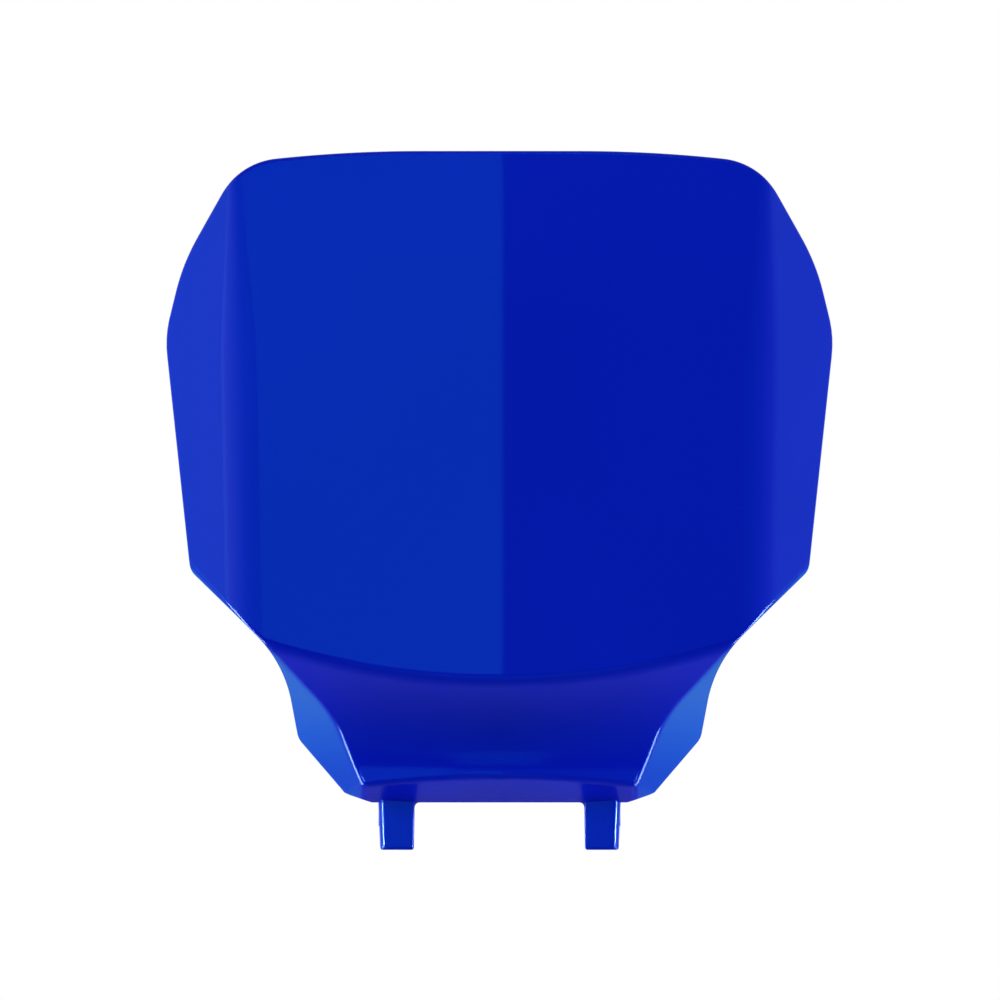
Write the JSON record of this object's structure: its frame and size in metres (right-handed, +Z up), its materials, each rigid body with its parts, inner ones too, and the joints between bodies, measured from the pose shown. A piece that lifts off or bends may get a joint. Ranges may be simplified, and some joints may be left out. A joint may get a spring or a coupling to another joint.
{
  "type": "racing number board",
  "caption": "Creased, winged and hollowed moulded board that carries a racing number on the front of an off-road motorbike, with plug-in pegs below and a fixing lug behind.",
  "frame": {"origin": "axis of the fixing lug's screw hole, at the lug's upper face", "axes": "+X to the right as seen by someone facing the board, +Y towards its back and +Z up along the screw hole"},
  "size_m": [0.2362, 0.0656, 0.2478],
  "materials": {
    "board_blue": "glossy, injection-moulded polypropylene coloured blue all through"
  },
  "bodies": {
    "root": {"number_board": "board_blue"}
  },
  "joints": []
}
